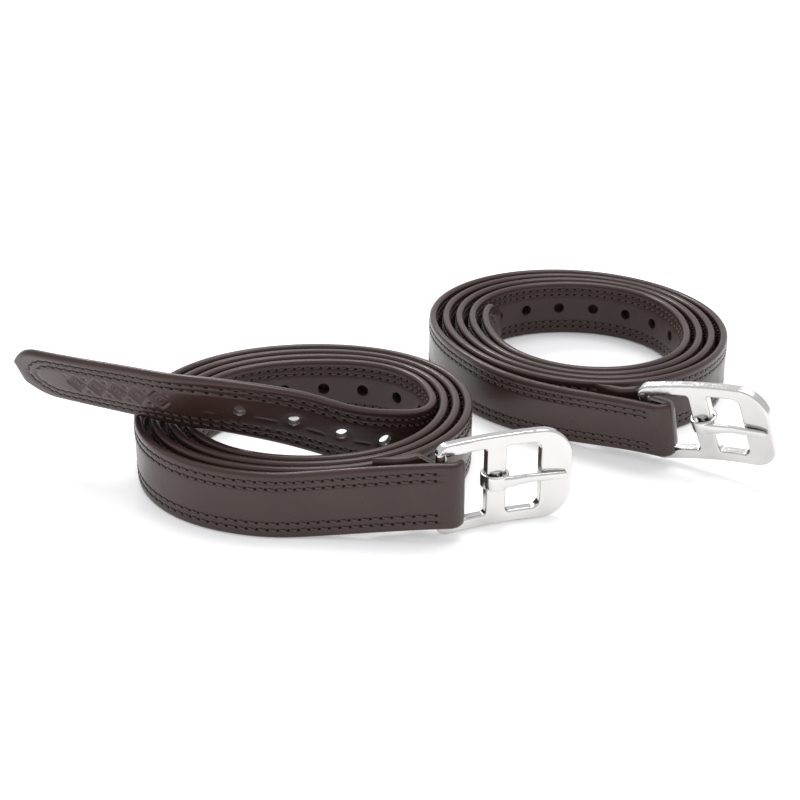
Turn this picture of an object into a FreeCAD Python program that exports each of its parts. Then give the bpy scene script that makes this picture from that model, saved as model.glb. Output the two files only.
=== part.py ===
import FreeCAD, Part
import math
import os

os.makedirs("parts", exist_ok=True)

# A pair of stirrup leathers, each coiled up and standing on its edge.
# Millimetres. +Z is up, +X runs to the right along the front of the pair, +Y runs to the back.
# The origin is on the ground, under the middle of the pair's bounding box.

# ---- strap section ----
strap_width = 25.4
strap_thickness = 3.3
edge_rounding = 0.9
face_leather = 1.2
edge_leather = 1.2
lip_leather = 1.1
lip_width = 4.7
layer_gap = 0.03

# ---- strap ends ----
tip_taper_length = 15.0
tip_end_share = 0.36
leaf_length = 24.0
leaf_open_length = 4.5
leaf_wedge_length = 11.0
leaf_spacing = 0.4
leaf_skive_length = 8.0
leaf_skive_share = 0.3
lining_set_back = 2.0
lining_splice_gap = 0.3
lining_splice_share = 0.55
notch_depth = 4.0
notch_length = 8.5
notch_front = 0.9

# ---- stitching ----
stitch_rows = (3.4, 6.0)
thread_width = 0.7
thread_height = 0.22
thread_clearance = 0.01
stitch_from_bar = 4.0
stitch_from_tip = 8.0

# ---- punched holes ----
hole_diameter = 4.8
hole_pitch = 16.7
hole_count = 15
front_first_hole = 92.0
rear_first_hole = 83.5

# ---- buckle ----
bar_radius = 2.0
bar_clearance = 0.3
loop_slack = 3.0
frame_height = 35.0
frame_length = 51.4
frame_thickness = 4.0
frame_bow = 2.6
arm_height = 4.7
middle_bar_distance = 21.3
middle_bar_width = 7.7
bar_neck_height = 6.4
bar_neck_radius = 2.6
window_end = 37.9
tongue_clearance = 0.06
tongue_ring_radius = 5.2
tongue_ring_height = 5.4

# The prong, at distances from the middle bar: how far it stands off the frame's face,
# how thick it is and how tall it is.
tongue_prong = (
    (0.0, 0.8, 2.2, 4.8),
    (6.0, 0.8, 2.2, 4.0),
    (11.0, 0.25, 2.0, 3.2),
    (17.0, 0.3, 1.9, 3.0),
    (22.0, 0.2, 1.8, 2.8),
    (25.9, 0.0, 1.4, 2.2),
)

# ---- where the coils stand ----
# Each coil is a spiral whose radius and spacing change with direction.
# Both lists run round from +X in steps of 45 degrees.
front_centre = (-32.69, -47.42)
front_outer_radius = (64.7, 64.8, 62.6, 64.6, 65.9, 64.8, 60.2, 62.5)
front_wrap_pitch = (4.65, 4.6, 5.6, 5.5, 5.8, 5.6, 4.45, 4.5)
front_coil_angles = (-88.0, -1438.0)
front_bar = (16.21, -106.42)
front_heading = -3.0
front_bar_lift = 5.2
front_bar_lean = 0.0

rear_centre = (79.61, 45.68)
rear_outer_radius = (67.3, 64.6, 67.4, 66.5, 63.7, 66.6, 76.4, 74.0)
rear_wrap_pitch = (5.3, 4.7, 6.03, 6.0, 5.85, 5.05, 4.6, 4.9)
rear_coil_angles = (-108.0, -1660.0)
rear_bar = (102.81, -45.92)
rear_heading = -38.0
rear_bar_lift = 3.7
rear_bar_lean = 18.0

lift_run = 60.0
lean_run = 105.0
coil_step = 12.0

# How closely the swept surfaces follow a strap's line, and how far the fine part reaches.
fine_step = 1.2
wide_step = 4.0
fine_reach = 6.0

# The front strap's free end leaves the innermost wrap, crosses the hollow of the coil,
# climbs over the left-hand wraps and lies out past them with its face tipped up.
front_tail = (
    (8.31, -55.92),
    (-3.19, -62.42),
    (-19.19, -67.92),
    (-35.19, -70.92),
    (-52.19, -73.42),
    (-70.19, -71.42),
    (-91.19, -61.92),
    (-116.19, -49.42),
    (-141.19, -36.42),
)
tail_climb_start = 172.0
tail_climb_end = 80.0
tail_height = 25.7
tail_lean_start = 165.0
tail_lean_settled = 120.0
tail_first_lean = 17.5
tail_further_lean = 9.0

# How each buckle hangs in its fold: swung back about its bar, tipped up, and slid along.
front_buckle_swing = 21.7
front_buckle_tip = 0.0
front_buckle_slide = 0.2
rear_buckle_swing = 6.0
rear_buckle_tip = 9.0
rear_buckle_slide = -1.6

loop_radius = bar_radius + bar_clearance + strap_thickness / 2.0


def smooth_step(value):
    """0 below 0, 1 above 1, and an even S between them."""
    t = min(max(value, 0.0), 1.0)
    return t * t * (3.0 - 2.0 * t)


def by_direction(values, angle):
    """The smooth closed curve through one value for each equal step of direction."""
    count = len(values)
    total = 0.0
    for index, value in enumerate(values):
        half = angle / 2.0 - math.pi * index / count
        if abs(math.sin(half)) < 1e-9:
            weight = 1.0
        else:
            weight = math.sin(count * half) / (count * math.tan(half))
        total += value * weight
    return total


class StrapPath:
    """The line of a strap's lower edge, from the end of its turned-back leaf to its tip."""

    def __init__(self, centre, radii, pitches, angles, bar, heading, lift, lean, first_hole, tail):
        self.centre = centre
        self.first_hole = first_hole
        self.radii = radii
        self.pitches = pitches
        self.angles = angles
        self.lift = lift
        self.bar_lean = lean
        self.tail = tail
        turn = math.radians(heading)
        self.towards_buckle = FreeCAD.Vector(math.cos(turn), math.sin(turn), 0.0)
        self.face_side = FreeCAD.Vector(math.sin(turn), -math.cos(turn), 0.0)
        self.bar = FreeCAD.Vector(bar[0], bar[1], 0.0)
        points = self.leaf_points() + self.loop_points()
        face_point = points[-1]
        points += self.coil_points()
        points += [FreeCAD.Vector(x, y, 0.0) for x, y in tail]
        self.curve = Part.BSplineCurve()
        self.curve.interpolate(points)
        self.length = self.curve.length()
        face_parameter = self.curve.parameter(face_point)
        self.face_start = self.curve.length(self.curve.FirstParameter, face_parameter)
        self.face_point = face_point
        lean_angle = math.radians(lean)
        upwards = FreeCAD.Vector(0.0, 0.0, 1.0)
        self.bar_up = upwards * math.cos(lean_angle) + self.face_side * math.sin(lean_angle)
        self.bar_out = self.face_side * math.cos(lean_angle) - upwards * math.sin(lean_angle)
        self.bar_foot = self.tilted(self.bar)

    def at_bar(self, along, out):
        """A point on the ground near the bar: towards the buckle, and out on the face side."""
        return self.bar + self.towards_buckle * along + self.face_side * out

    def leaf_points(self):
        """The leaf behind the strap, which closes up to it away from the bar."""
        closed = loop_radius - strap_thickness - leaf_spacing
        steps = 7
        points = []
        for index in range(steps):
            along = -leaf_length + (leaf_length - 1.0) * index / (steps - 1.0)
            opening = along + leaf_open_length + leaf_wedge_length
            share = smooth_step(opening / leaf_wedge_length)
            points.append(self.at_bar(along, closed - (closed + loop_radius) * share))
        return points

    def loop_points(self):
        """Half a turn past the buckle's bar, from the back to the face side."""
        steps = 8
        points = []
        for index in range(steps + 1):
            turn = math.pi * index / steps
            along = loop_slack + loop_radius * math.sin(turn)
            points.append(self.at_bar(along, -loop_radius * math.cos(turn)))
        return points

    def coil_points(self):
        """The wraps of the coil, from the outermost one inwards."""
        start, end = self.angles
        count = int(round((start - end) / coil_step))
        points = []
        for index in range(count + 1):
            degrees = start + (end - start) * index / count
            angle = math.radians(degrees)
            turns = (start - degrees) / 360.0
            radius = by_direction(self.radii, angle) - turns * by_direction(self.pitches, angle)
            x = self.centre[0] + radius * math.cos(angle)
            y = self.centre[1] + radius * math.sin(angle)
            points.append(FreeCAD.Vector(x, y, 0.0))
        return points

    def height_and_lean(self, distance):
        """How high the lower edge stands, and how far the face tips outwards."""
        from_bar = distance - self.face_start
        height = self.lift * (1.0 - smooth_step(from_bar / lift_run))
        lean = self.bar_lean * (1.0 - smooth_step(from_bar / lean_run))
        height += math.sin(math.radians(lean)) * strap_thickness / 2.0
        if self.tail:
            to_tip = self.length - distance
            climb = (tail_climb_start - to_tip) / (tail_climb_start - tail_climb_end)
            height += tail_height * smooth_step(climb)
            roll = (tail_lean_start - to_tip) / (tail_lean_start - tail_lean_settled)
            lean += tail_first_lean * smooth_step(roll)
            lean += tail_further_lean * smooth_step(1.0 - to_tip / tail_lean_settled)
        return height, math.radians(lean)

    def tilted(self, ground_point):
        """Where a ground point near the bar goes when the fold tips over with the strap."""
        offset = ground_point - self.face_point
        along = self.towards_buckle * offset.dot(self.towards_buckle)
        out = self.bar_out * offset.dot(self.face_side)
        height, lean = self.height_and_lean(self.face_start)
        return self.face_point + FreeCAD.Vector(0.0, 0.0, height) + along + out

    def section_frame(self, distance):
        """The strap's lower edge, outward normal and upward direction at a distance."""
        parameter = self.curve.parameterAtDistance(distance, self.curve.FirstParameter)
        point = self.curve.value(parameter)
        tangent = self.curve.tangent(parameter)[0]
        normal = FreeCAD.Vector(-tangent.y, tangent.x, 0.0)
        if distance < self.face_start:
            along = self.towards_buckle * normal.dot(self.towards_buckle)
            out = self.bar_out * normal.dot(self.face_side)
            return self.tilted(point), along + out, self.bar_up
        step = 0.05
        height, lean = self.height_and_lean(distance)
        rise = self.height_and_lean(distance + step)[0] - self.height_and_lean(distance - step)[0]
        slope = math.atan(rise / (2.0 * step))
        upright = tangent * -math.sin(slope) + FreeCAD.Vector(0.0, 0.0, math.cos(slope))
        origin = FreeCAD.Vector(point.x, point.y, height)
        up = upright * math.cos(lean) + normal * math.sin(lean)
        out = normal * math.cos(lean) - upright * math.sin(lean)
        return origin, out, up

    def width_share(self, distance):
        """How wide the strap is at a distance, as a share of its full width."""
        to_tip = max(self.length - distance, 0.0)
        if to_tip >= tip_taper_length:
            return 1.0
        closing = 1.0 - to_tip / tip_taper_length
        return 1.0 - (1.0 - tip_end_share) * closing ** 2.4

    def thinned(self, distance, out):
        """The distance out once the end of the leaf is pared down from its outer side."""
        back = -strap_thickness / 2.0
        pared = smooth_step(distance / leaf_skive_length)
        share = leaf_skive_share + (1.0 - leaf_skive_share) * pared
        return back + (out - back) * share

    def place(self, distance, out, height):
        """The point out from the middle of the strap's thickness, at a height up its width."""
        origin, normal, up = self.section_frame(distance)
        out = self.thinned(distance, out)
        middle = strap_width / 2.0
        raised = middle + (height - middle) * self.width_share(distance)
        return origin + normal * out + up * raised


front_path = StrapPath(front_centre, front_outer_radius, front_wrap_pitch, front_coil_angles,
                       front_bar, front_heading, front_bar_lift, front_bar_lean,
                       front_first_hole, front_tail)
rear_path = StrapPath(rear_centre, rear_outer_radius, rear_wrap_pitch, rear_coil_angles,
                      rear_bar, rear_heading, rear_bar_lift, rear_bar_lean,
                      rear_first_hole, ())


# ---- solids ----
def strap_stations(path, start, end):
    """Distances along a strap: close together round the fold and at the tip, wider elsewhere."""
    stations = [start]
    while True:
        here = stations[-1]
        near_fold = here < path.face_start + fine_reach
        near_tip = path.length - here < tip_taper_length + fine_reach
        step = fine_step if near_fold or near_tip else wide_step
        if end - here < 1.4 * step:
            break
        stations.append(here + step)
    stations.append(end)
    return stations


def strip_between(first, second):
    """The straight-ruled face between two rails that share their knots."""
    poles = [list(pair) for pair in zip(first.getPoles(), second.getPoles())]
    surface = Part.BSplineSurface()
    surface.buildFromPolesMultsKnots(
        poles,
        first.getMultiplicities(),
        [2, 2],
        first.getKnots(),
        [0.0, 1.0],
        False,
        False,
        first.Degree,
        1,
    )
    return surface.toShape()


def ribbon(path, outline, start, end):
    """Sweeps a closed outline of (out, height) points along a strap."""
    stations = strap_stations(path, start, end)
    rails = []
    for out, height in outline:
        rail = Part.BSplineCurve()
        points = [path.place(distance, out, height) for distance in stations]
        rail.interpolate(Points=points, Parameters=stations)
        rails.append(rail)
    faces = []
    for index, rail in enumerate(rails):
        faces.append(strip_between(rail, rails[(index + 1) % len(rails)]))
    for distance in (stations[0], stations[-1]):
        corners = [path.place(distance, out, height) for out, height in outline]
        faces.append(Part.Face(Part.makePolygon(corners + corners[:1])))
    shell = Part.Compound(faces)
    shell.sewShape(1e-4)
    solid = Part.Solid(shell.Shells[0])
    if solid.Volume < 0.0:
        solid.reverse()
    return solid


def rectangle(out_low, out_high, low, high):
    return ((out_high, low), (out_high, high), (out_low, high), (out_low, low))


def cover_outline():
    """The face leather, carried round both edges and turned over on the back as two lips."""
    face = strap_thickness / 2.0
    back = -face
    soft = edge_rounding
    top = strap_width
    inside_face = face - face_leather
    inside_lip = back + lip_leather
    return (
        (face, soft),
        (face, top - soft),
        (face - soft, top),
        (back + soft, top),
        (back, top - soft),
        (back, top - lip_width),
        (inside_lip, top - lip_width),
        (inside_lip, top - edge_leather),
        (inside_face, top - edge_leather),
        (inside_face, edge_leather),
        (inside_lip, edge_leather),
        (inside_lip, lip_width),
        (back, lip_width),
        (back, soft),
        (back + soft, 0.0),
        (face - soft, 0.0),
    )


def core_outline():
    low = edge_leather + layer_gap
    back = -strap_thickness / 2.0 + lip_leather + layer_gap
    face = strap_thickness / 2.0 - face_leather - layer_gap
    return rectangle(back, face, low, strap_width - low)


def lining_outline():
    low = lip_width + layer_gap
    back = -strap_thickness / 2.0
    return rectangle(back, back + lip_leather - layer_gap, low, strap_width - low)


def thread_outline(side, low):
    """A line of stitching lying on the face (side 1) or on the back (side -1)."""
    surface = strap_thickness / 2.0 + thread_clearance
    crest = surface + thread_height
    outs = sorted((side * surface, side * crest))
    return rectangle(outs[0], outs[1], low - thread_width / 2.0, low + thread_width / 2.0)


def hole_punches(path):
    """Round punches through the strap, counted back from the tip."""
    punches = []
    for index in range(hole_count):
        distance = path.length - path.first_hole - index * hole_pitch
        origin, out, up = path.section_frame(distance)
        start = origin + up * (strap_width / 2.0) - out * strap_thickness
        punches.append(Part.makeCylinder(hole_diameter / 2.0, 2.0 * strap_thickness, start, out))
    return Part.Compound(punches)


def fold_notches(path):
    """The cuts in the back half of the fold, where the buckle's side bars pass."""
    notches = []
    for edge, inwards in ((strap_width, -1.0), (0.0, 1.0)):
        corners = (
            (-notch_length, edge - inwards),
            (-notch_length, edge),
            (-notch_length / 2.0, edge + inwards * (notch_depth - 1.0)),
            (-notch_length / 4.0, edge + inwards * notch_depth),
            (loop_slack + loop_radius + strap_thickness, edge + inwards * notch_depth),
            (loop_slack + loop_radius + strap_thickness, edge - inwards),
        )
        points = []
        start = path.bar_foot + path.bar_out * notch_front
        for along, height in corners:
            points.append(start + path.towards_buckle * along + path.bar_up * height)
        face = Part.Face(Part.makePolygon(points + points[:1]))
        depth = loop_radius + 2.0 * strap_thickness
        notches.append(face.extrude(path.bar_out * -depth))
    return Part.Compound(notches)


def save(shape, name):
    shape.exportStep("parts/" + name + ".step")


def build_strap(path, prefix):
    """All the leather, core and thread of one strap."""
    punches = hole_punches(path)
    notches = fold_notches(path)
    leaf_start = 0.6
    tip = path.length
    cover = ribbon(path, cover_outline(), leaf_start, tip - 0.01)
    cover = cover.cut(Part.Compound([punches, notches]))
    save(cover, prefix + "_cover_leather")
    core = ribbon(path, core_outline(), leaf_start + leaf_skive_length, tip - lining_set_back)
    core = core.cut(Part.Compound([punches, notches]))
    save(core, prefix + "_nylon_core")
    splice = path.face_start + (tip - path.face_start) * lining_splice_share
    outer = ribbon(path, lining_outline(), leaf_start + lining_set_back,
                   splice - lining_splice_gap / 2.0)
    inner = ribbon(path, lining_outline(), splice + lining_splice_gap / 2.0,
                   tip - lining_set_back)
    save(outer.cut(Part.Compound([punches, notches])), prefix + "_lining_outer_length")
    save(inner.cut(punches), prefix + "_lining_inner_length")
    stitched_from = path.face_start + stitch_from_bar
    stitched_to = tip - stitch_from_tip
    backed_from = path.face_start + leaf_length + loop_slack + 2.0
    for side, side_name, first in ((1.0, "face", stitched_from), (-1.0, "back", backed_from)):
        for level in ("lower", "upper"):
            rows = []
            for inset in stitch_rows:
                height = inset if level == "lower" else strap_width - inset
                rows.append(ribbon(path, thread_outline(side, height), first, stitched_to))
            save(Part.Compound(rows), prefix + "_" + side_name + "_stitching_" + level)


# ---- buckle, drawn along its length (x), across its height (z) and through its thickness (y) ----
def bowed_profile(thickness):
    """The frame seen from above: thick at both ends and bowed back between them."""
    left = -bar_radius
    right = frame_length - bar_radius
    middle = (left + right) / 2.0
    lines = []
    for side in (1.0, -1.0):
        half = side * thickness / 2.0
        start = FreeCAD.Vector(left, half, 0.0)
        bow = FreeCAD.Vector(middle, half + frame_bow, 0.0)
        end = FreeCAD.Vector(right, half, 0.0)
        lines.append(Part.Arc(start, bow, end).toShape())
    ends = []
    for index in (0, 1):
        first = lines[0].Vertexes[index].Point
        second = lines[1].Vertexes[index].Point
        ends.append(Part.makeLine(first, second))
    wire = Part.Wire(Part.__sortEdges__(lines + ends))
    return Part.Face(wire)


def corner_arc(x, y, z, radius, start):
    """A quarter circle in the x-z plane, from a starting angle in degrees."""
    points = []
    for angle in (start, start + 45.0, start + 90.0):
        turn = math.radians(angle)
        reach = FreeCAD.Vector(math.cos(turn), 0.0, math.sin(turn)) * radius
        points.append(FreeCAD.Vector(x, y, z) + reach)
    return Part.Arc(points[0], points[1], points[2]).toShape()


def rounded_plate(left, right, low, high, left_radius, right_radius, depth):
    """A plate in the x-z plane with its own corner radius at each end."""
    front = -depth / 2.0
    arcs = [
        corner_arc(right - right_radius, front, high - right_radius, right_radius, 0.0),
        corner_arc(left + left_radius, front, high - left_radius, left_radius, 90.0),
        corner_arc(left + left_radius, front, low + left_radius, left_radius, 180.0),
        corner_arc(right - right_radius, front, low + right_radius, right_radius, 270.0),
    ]
    edges = []
    for index, edge in enumerate(arcs):
        following = arcs[(index + 1) % len(arcs)]
        edges.append(edge)
        edges.append(Part.makeLine(edge.Vertexes[1].Point, following.Vertexes[0].Point))
    face = Part.Face(Part.Wire(edges))
    return face.extrude(FreeCAD.Vector(0.0, depth, 0.0))


def frame_middle(x):
    """How far back the middle of the bowed frame's thickness lies."""
    half = frame_length / 2.0
    radius = (half ** 2 + frame_bow ** 2) / (2.0 * frame_bow)
    offset = x - (half - bar_radius)
    return math.sqrt(radius ** 2 - offset ** 2) - (radius - frame_bow)


def buckle_frame():
    """A bowed cast frame with a round end bar and a waisted middle bar."""
    deep = 20.0
    right = frame_length - bar_radius
    profile = bowed_profile(frame_thickness)
    profile.translate(FreeCAD.Vector(0.0, 0.0, -1.0))
    curved = profile.extrude(FreeCAD.Vector(0.0, 0.0, frame_height + 2.0))
    outline = rounded_plate(-bar_radius, right, 0.0, frame_height, 4.5, 11.0, deep)
    window_low = arm_height
    window_high = frame_height - arm_height
    waist = middle_bar_width / 2.0
    left_window = rounded_plate(-deep, middle_bar_distance - waist, window_low, window_high,
                                1.0, 1.2, deep)
    right_window = rounded_plate(middle_bar_distance + waist, window_end, window_low, window_high,
                                 1.2, 3.0, deep)
    frame = soften(curved.common(outline).cut(left_window).cut(right_window))
    neck_low = (frame_height - bar_neck_height) / 2.0
    gap = Part.makeBox(middle_bar_width + 2.0, deep, bar_neck_height,
                       FreeCAD.Vector(middle_bar_distance - waist - 1.0, -deep / 2.0, neck_low))
    neck = Part.makeCylinder(bar_neck_radius, bar_neck_height + 1.2,
                             FreeCAD.Vector(middle_bar_distance, frame_middle(middle_bar_distance),
                                            neck_low - 0.6))
    end_bar = Part.makeCylinder(bar_radius, window_high - window_low + 3.0,
                                FreeCAD.Vector(0.0, 0.0, window_low - 1.5))
    return frame.cut(gap).fuse([neck, end_bar]).removeSplitter()


def soften(casting):
    """Rounds the long edges of the casting where the kernel allows it."""
    for radius in (0.9, 0.6, 0.3):
        try:
            rounded = casting.makeFillet(radius, casting.Edges)
        except Part.OCCError:
            continue
        if rounded.isValid() and rounded.Volume > 0.0:
            return rounded
    return casting


def prong_side():
    """The prong seen from above, from the middle bar out to its tip."""
    behind = []
    before = []
    for reach, standoff, thickness, _ in tongue_prong:
        x = middle_bar_distance + reach
        face = frame_middle(x) - frame_thickness / 2.0 - tongue_clearance
        behind.append(FreeCAD.Vector(x, face - standoff, 0.0))
        before.append(FreeCAD.Vector(x, face - standoff - thickness, 0.0))
    back_edge = Part.BSplineCurve()
    back_edge.interpolate(behind)
    front_edge = Part.BSplineCurve()
    front_edge.interpolate(before)
    edges = [
        back_edge.toShape(),
        Part.makeLine(behind[-1], before[-1]),
        front_edge.toShape(),
        Part.makeLine(before[0], behind[0]),
    ]
    return Part.Face(Part.Wire(Part.__sortEdges__(edges)))


def prong_plan():
    """The prong seen from the front, tapering from the middle bar to its tip."""
    middle = frame_height / 2.0
    upper = []
    lower = []
    for reach, _, _, height in tongue_prong:
        x = middle_bar_distance + reach
        upper.append(FreeCAD.Vector(x, 0.0, middle + height / 2.0))
        lower.append(FreeCAD.Vector(x, 0.0, middle - height / 2.0))
    corners = upper + lower[::-1]
    return Part.Face(Part.makePolygon(corners + corners[:1]))


def buckle_tongue():
    """A ring round the middle bar with a prong that lies on the far end of the frame."""
    deep = 30.0
    middle = frame_height / 2.0
    axis = FreeCAD.Vector(middle_bar_distance, frame_middle(middle_bar_distance), 0.0)
    ring_low = FreeCAD.Vector(0.0, 0.0, middle - tongue_ring_height / 2.0)
    ring = Part.makeCylinder(tongue_ring_radius, tongue_ring_height, axis + ring_low)
    side = prong_side().extrude(FreeCAD.Vector(0.0, 0.0, frame_height))
    plan = prong_plan()
    plan.translate(FreeCAD.Vector(0.0, -deep / 2.0, 0.0))
    prong = side.common(plan.extrude(FreeCAD.Vector(0.0, deep, 0.0)))
    bore = Part.makeCylinder(bar_neck_radius + tongue_clearance, frame_height, axis)
    return ring.fuse(prong).cut(bore).removeSplitter()


def place_buckle(shape, path, swing, tip, slide):
    """Hangs a buckle in its strap's fold: slid along, tipped up, then swung about its bar."""
    rise = math.radians(tip)
    turn = math.radians(swing)
    ahead = path.towards_buckle * math.cos(rise) + path.bar_up * math.sin(rise)
    up = path.bar_up * math.cos(rise) - path.towards_buckle * math.sin(rise)
    along = ahead * math.cos(turn) - path.bar_out * math.sin(turn)
    back = path.bar_out * -math.cos(turn) - ahead * math.sin(turn)
    bar_middle = path.bar_foot + path.bar_up * (strap_width / 2.0) + path.towards_buckle * slide
    foot = bar_middle - up * (frame_height / 2.0)
    matrix = FreeCAD.Matrix(
        along.x, back.x, up.x, foot.x,
        along.y, back.y, up.y, foot.y,
        along.z, back.z, up.z, foot.z,
        0.0, 0.0, 0.0, 1.0,
    )
    placed = shape.copy()
    placed.Placement = FreeCAD.Placement(matrix)
    return placed


build_strap(front_path, "front")
build_strap(rear_path, "rear")
frame_shape = buckle_frame()
tongue_shape = buckle_tongue()
hung_buckles = (
    ("front", front_path, front_buckle_swing, front_buckle_tip, front_buckle_slide),
    ("rear", rear_path, rear_buckle_swing, rear_buckle_tip, rear_buckle_slide),
)
for name, buckle_path, swing, tip, slide in hung_buckles:
    save(place_buckle(frame_shape, buckle_path, swing, tip, slide), name + "_buckle_frame")
    save(place_buckle(tongue_shape, buckle_path, swing, tip, slide), name + "_buckle_tongue")
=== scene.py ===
"""A pair of coiled stirrup leathers: leather, stitching and polished buckles on the CAD frame.

Lengths are millimetres until a mesh is made, and each strap is worked out from the same
driving dimensions and route points as its CAD solids. The floor's glow, the lights and the
camera are in metres.
"""

import math

import bmesh
import bpy
import numpy as np
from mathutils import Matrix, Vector


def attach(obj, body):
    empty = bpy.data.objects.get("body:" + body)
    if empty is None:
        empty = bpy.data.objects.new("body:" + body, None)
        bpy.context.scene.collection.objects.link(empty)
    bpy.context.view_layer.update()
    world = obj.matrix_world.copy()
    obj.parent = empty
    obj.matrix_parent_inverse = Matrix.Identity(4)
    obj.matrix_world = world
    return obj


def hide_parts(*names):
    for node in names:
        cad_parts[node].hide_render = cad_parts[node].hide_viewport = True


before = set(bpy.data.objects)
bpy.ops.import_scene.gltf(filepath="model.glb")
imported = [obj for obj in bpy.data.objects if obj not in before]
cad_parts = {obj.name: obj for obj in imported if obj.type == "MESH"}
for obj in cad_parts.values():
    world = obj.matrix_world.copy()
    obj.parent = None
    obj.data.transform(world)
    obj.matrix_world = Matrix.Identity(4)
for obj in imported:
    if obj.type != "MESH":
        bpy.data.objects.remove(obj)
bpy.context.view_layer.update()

MM = 0.001

# ---- the strap's section, as in the CAD part ----
STRAP_WIDTH = 25.4
STRAP_THICKNESS = 3.3
MIDDLE = STRAP_WIDTH / 2.0
FACE = STRAP_THICKNESS / 2.0
FACE_LEATHER = 1.2
EDGE_LEATHER = 1.2
LIP_LEATHER = 1.1
LIP_WIDTH = 4.7
LAYER_GAP = 0.03
EDGE_ROLL = 1.5
TIP_TAPER = 15.0
TIP_TAPER_POWER = 2.4
TIP_END_SHARE = 0.36
TIP_NOSE = 2.4
TIP_NOSE_THICKNESS = 0.14
TIP_NOSE_POWER = 0.7
TIP_NOSE_SHORT = 0.02
SOFT_EDGE = 0.22
START_OF_MESH = 0.6

# Heights of the mesh's lines up from the strap's edge, closest round the two rows of stitching.
FACE_LINES = (EDGE_ROLL, 2.1, 2.6, 3.0, 3.4, 3.8, 4.2, 4.7, 5.2, 5.6, 6.0, 6.4)
FACE_CENTRE_FROM = 6.9
FACE_CENTRE_LINES = 25
LIP_LINES = (EDGE_ROLL, 2.1, 2.6, 3.0, 3.4, 3.8, 4.2, 4.5, 4.64)
LINING_LINES = (5.3, 5.65, 6.0, 6.35, 6.8, 8.0, 9.3, 10.6, 11.7)

# Steps between the mesh's rings along a strap.
FOLD_RUN = 14.0
STEP_IN_FOLD = 0.7
STEP_IN_COIL = 2.2
STEP_AT_HOLES = 1.0
STEP_AT_ORNAMENT = 0.5
STEP_AT_TIP = 0.65
LEAST_STEP = 0.2
ORNAMENT_MARGIN = 2.0

# ---- stitching ----
STITCH_ROWS = (3.4, 6.0)
STITCH_PITCH = 3.7
STITCH_LENGTH = 2.9
STITCH_RADIUS = 0.4
STITCH_END_SHARE = 0.35
STITCH_RISE = 0.42
STITCH_SINK = 0.28
STITCH_SLANT = 0.3
STITCH_FROM_BAR = 4.0
STITCH_BEHIND_LEAF = 2.0
DIRECTION_REACH = 0.2
# A needle hole is a low dome coloured with painted shade, not a real opening.
NEEDLE_HOLE = 0.62
NEEDLE_HOLE_SHARE = 0.85
NEEDLE_DOME = 0.05
NEEDLE_RIM = 0.02
GROOVE_DEPTH = 0.3
GROOVE_WIDTH = 0.5
VALLEY_DEPTH = 0.12
VALLEY_WIDTH = 2.2
GROOVE_AHEAD = 5.0
GROOVE_FADE = 4.0

# The rows turn round the tip on ellipses that start this far back and are this much longer
# than wide.
TURN_FROM_TIP = 20.0
TURN_STRETCH = 1.5

# ---- punched holes and stamped marks ----
HOLE_DIAMETER = 4.8
HOLE_PITCH = 16.7
HOLE_COUNT = 15
HOLE_RIM = 0.24
HOLE_RIM_WIDTH = 0.9
DASH_LENGTH = 4.6
DASH_DROP = 2.2
DASH_DEPTH = 0.45
DASH_END_WIDTH = 0.6
DASH_WIDTH = 0.45
ORNAMENT_START = 70.0
ORNAMENT_END = 24.0
ORNAMENT_FADE = 0.8
STAMP_DEPTH = 0.55

# A lozenge's size as shares of its cell, and the widths of its stamped lines and dots.
LOZENGE_PITCH = 9.2
LOZENGE_HALF_HEIGHT = 4.3
LOZENGE_SLOPE = 0.98
LOZENGE_OUTER = 0.92
LOZENGE_INNER = 0.5
LOZENGE_CORNER = 0.78
OUTER_LINE_WIDTH = 0.17
INNER_LINE_WIDTH = 0.13
DOT_WIDTH = 0.9
CORNER_WIDTH = 0.8

# The relief fades out this far inside the strap's edge.
RELIEF_FROM = 0.8
RELIEF_FADE = 1.2

# ---- the fold round the buckle's bar ----
BAR_RADIUS = 2.0
BAR_CLEARANCE = 0.3
LOOP_SLACK = 3.0
LOOP_RADIUS = BAR_RADIUS + BAR_CLEARANCE + STRAP_THICKNESS / 2.0
LEAF_LENGTH = 24.0
LEAF_OPEN = 4.5
LEAF_WEDGE = 11.0
LEAF_SPACING = 0.4
LEAF_SKIVE = 8.0
LEAF_SKIVE_SHARE = 0.3
NOTCH_DEPTH = 4.0
NOTCH_LENGTH = 8.5
NOTCH_FRONT = 0.9
LINING_SET_BACK = 2.0
LINING_SPLICE_GAP = 0.3
LINING_SPLICE_SHARE = 0.55

# ---- the buckle ----
FRAME_HEIGHT = 35.0
FRAME_LENGTH = 51.4
FRAME_THICKNESS = 4.0
FRAME_BOW = 2.6
MIDDLE_BAR = 21.3
TONGUE_RING_RADIUS = 5.2
TONGUE_RING_BORE = 3.7
TONGUE_RING_HEIGHT = 5.3
TONGUE_CLEARANCE = 0.06
PRONG_END = 0.9
PRONG_END_SHARE = 0.02
PRONG_SQUARENESS = 0.75
RING_BAND_ROUNDNESS = 0.6
RING_BAND_SQUARENESS = 0.25

# The prong, at distances from the middle bar: how far it stands off the frame's face,
# how thick it is and how tall it is.
TONGUE_PRONG = (
    (0.0, 0.8, 2.2, 4.8),
    (6.0, 0.8, 2.2, 4.0),
    (11.0, 0.25, 2.0, 3.2),
    (17.0, 0.3, 1.9, 3.0),
    (22.0, 0.2, 1.8, 2.8),
    (25.9, 0.0, 1.4, 2.2),
)

# ---- how a strap rises and leans along its length ----
LIFT_RUN = 60.0
LEAN_RUN = 105.0
COIL_STEP = 12.0
TAIL_CLIMB_START = 172.0
TAIL_CLIMB_END = 80.0
TAIL_HEIGHT = 25.7
TAIL_LEAN_START = 165.0
TAIL_LEAN_SETTLED = 120.0
TAIL_FIRST_LEAN = 17.5
TAIL_FURTHER_LEAN = 9.0

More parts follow.
